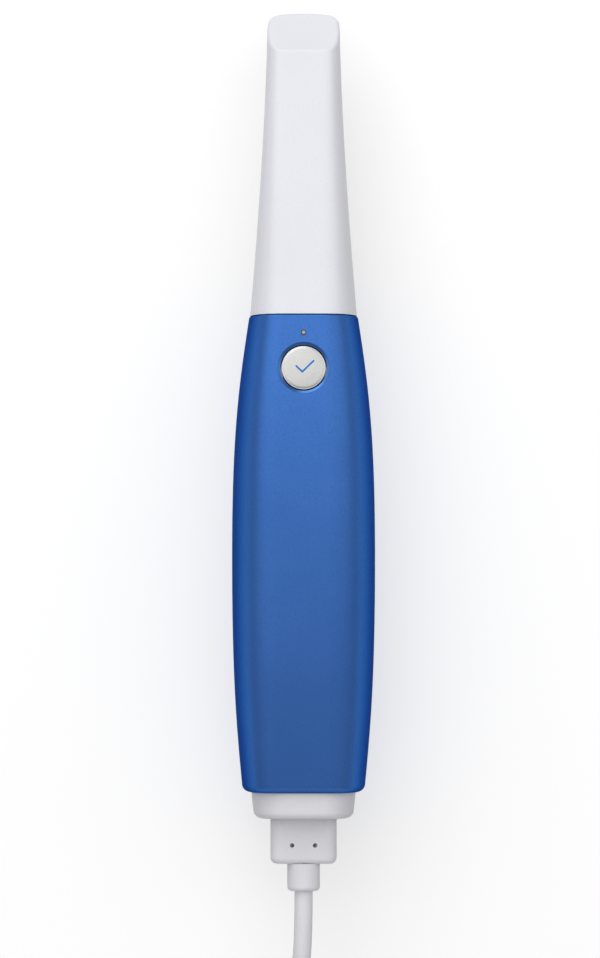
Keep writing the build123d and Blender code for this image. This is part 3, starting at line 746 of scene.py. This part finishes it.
def makeGrip(p, material):
    bm = bmesh.new()
    ring = bmesh.ops.create_circle(bm, cap_ends=False, radius=1.0, segments=p["segments"])["verts"]
    power = 2 / p["squareness"]
    for v in ring:
        x, z = v.co.x, v.co.y
        v.co = Vector((math.copysign(abs(x) ** power, x), 0, math.copysign(abs(z) ** power, z)))
    edges = bm.edges[:]
    firstEdges = edges[:]
    size = None
    for way, inset in p["steps"]:
        if size is not None:
            made = bmesh.ops.extrude_edge_only(bm, edges=edges)["geom"]
            ring = [g for g in made if isinstance(g, bmesh.types.BMVert)]
            edges = [g for g in made if isinstance(g, bmesh.types.BMEdge)]
            bmesh.ops.translate(bm, vec=(0, size[2] - way, 0), verts=ring)
        new = (p["half"][0] - inset, p["half"][1] - inset, way)
        old = size or (1.0, 1.0, 0.0)
        bmesh.ops.scale(bm, vec=(new[0] / old[0], 1, new[1] / old[1]), verts=ring)
        size = new
    bmesh.ops.contextual_create(bm, geom=firstEdges)
    bmesh.ops.contextual_create(bm, geom=edges)
    bmesh.ops.recalc_face_normals(bm, faces=bm.faces)
    bmesh.ops.translate(bm, vec=p["start"], verts=bm.verts)
    piece = placePiece(bm, "farGrip", "cable_plug", material)
    smoothByAngle(piece.data, p["smoothAngle"])
    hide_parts("far_grip")
    return piece


tiePiece = makeTie(tieBand)
gripPiece = makeGrip(farGrip, collarGrey)
print("tie and far plug made")


# cable: out of the strain relief, down to the table and into its hank
cable = {
    "radius": 2.8,
    "length": 1.79,                # metres
    "roundness": 6,                # steps round a quarter
    "smoothness": 4,               # steps between points
    "run": [(0, -146.5, 26.0), (0, -159.4, 26.0), (-1.0, -173.0, 21.5), (-6.8, -187.0, 13.5),
            (-14.4, -201.0, 7.6), (-20.5, -215.0, 4.7), (-22.4, -229.0, 4.1), (-22.4, -241.0, 4.1)],
    "upperFold": -240.0,
    "lowerFold": -316.0,
    "outerTurn": 22.4,
    "lowRow": 4.1,
    "pitch": 5.6,
    "stretches": 24,               # straight, fold, straight, fold for each turn
    # which stretch moves to the next column or row
    "shifts": {2: (-1, 0), 5: (0, 1), 8: (1, 0), 11: (0, 1), 14: (-1, 0), 17: (0, 1), 20: (1, 0),
               23: (0, 0.8)},
    "straightShares": (0.25, 0.5, 0.75),
    "foldPoints": 8,
    "tail": [(-19.6, -248.0, 25.4), (-19.6, -262.0, 26.9), (-19.6, -276.0, 26.9)],
}


def hankPoints(p):
    points = []
    radius, height = p["outerTurn"], p["lowRow"]
    step = math.pi / p["foldPoints"]
    foldShares = [(i + 0.5) / p["foldPoints"] for i in range(p["foldPoints"])]
    for k in range(p["stretches"]):
        columns, rows = p["shifts"].get(k, (0, 0))
        onFold = k % 2 == 1
        side = -1 if k % 4 < 2 else 1          # left leg and lower fold, then right leg and upper fold
        for share in foldShares if onFold else p["straightShares"]:
            r = radius + columns * p["pitch"] * share
            z = height + rows * p["pitch"] * share
            if onFold:
                turn = math.pi * share
                reach = r / math.cos(step / 2)
                middle = p["lowerFold"] if side < 0 else p["upperFold"]
                points.append((side * reach * math.cos(turn), middle + side * reach * math.sin(turn), z))
            else:
                way = share if side < 0 else 1 - share
                points.append((side * r, p["upperFold"] + (p["lowerFold"] - p["upperFold"]) * way, z))
        radius += columns * p["pitch"]
        height += rows * p["pitch"]
    return points


def makeCable(p, material):
    curve = bpy.data.curves.new("cable", "CURVE")
    curve.dimensions = "3D"
    curve.bevel_depth = p["radius"] * mm
    curve.bevel_resolution = p["roundness"]
    curve.use_fill_caps = True
    curve.resolution_u = p["smoothness"]
    points = p["run"] + hankPoints(p) + p["tail"]
    spline = curve.splines.new("NURBS")
    spline.points.add(len(points) - 1)
    for point, place in zip(spline.points, points):
        point.co = (*(Vector(place) * mm), 1)
    spline.order_u = 3
    spline.use_endpoint_u = True
    piece = bpy.data.objects.new("cable", curve)
    scene.collection.objects.link(piece)
    curve.materials.append(material)
    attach(piece, "cable_plug")
    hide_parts("cable_run", "cable_coil", "cable_tail")


makeCable(cable, cableSheath)
print("cable laid")


# the CAD nodes that stay get their finishes
nodeFinishes = {
    "blue_casing": casingBlue,
    "tip_white": tipWhite,
    "collar_grey": collarGrey,
    "status_clear": statusClear,
    "mirror_face": mirrorSilver,
    "window_glass": windowGlass,
    "nose_black": noseBlack,
    "seal_rubber": sealRubber,
    "bench_metal": benchMetal,
    "camera_black": mouldedBlack,
    "board_green": boardGreen,
    "steel": plainSteel,
    "brass": turnedBrass,
}
for part in frame["record"]["subparts"]:
    finish = nodeFinishes.get(part["material_slot"])
    if finish:
        for holder in frame["nodes"][part["node"]].material_slots:
            holder.material = finish
print("finishes given to the solids")
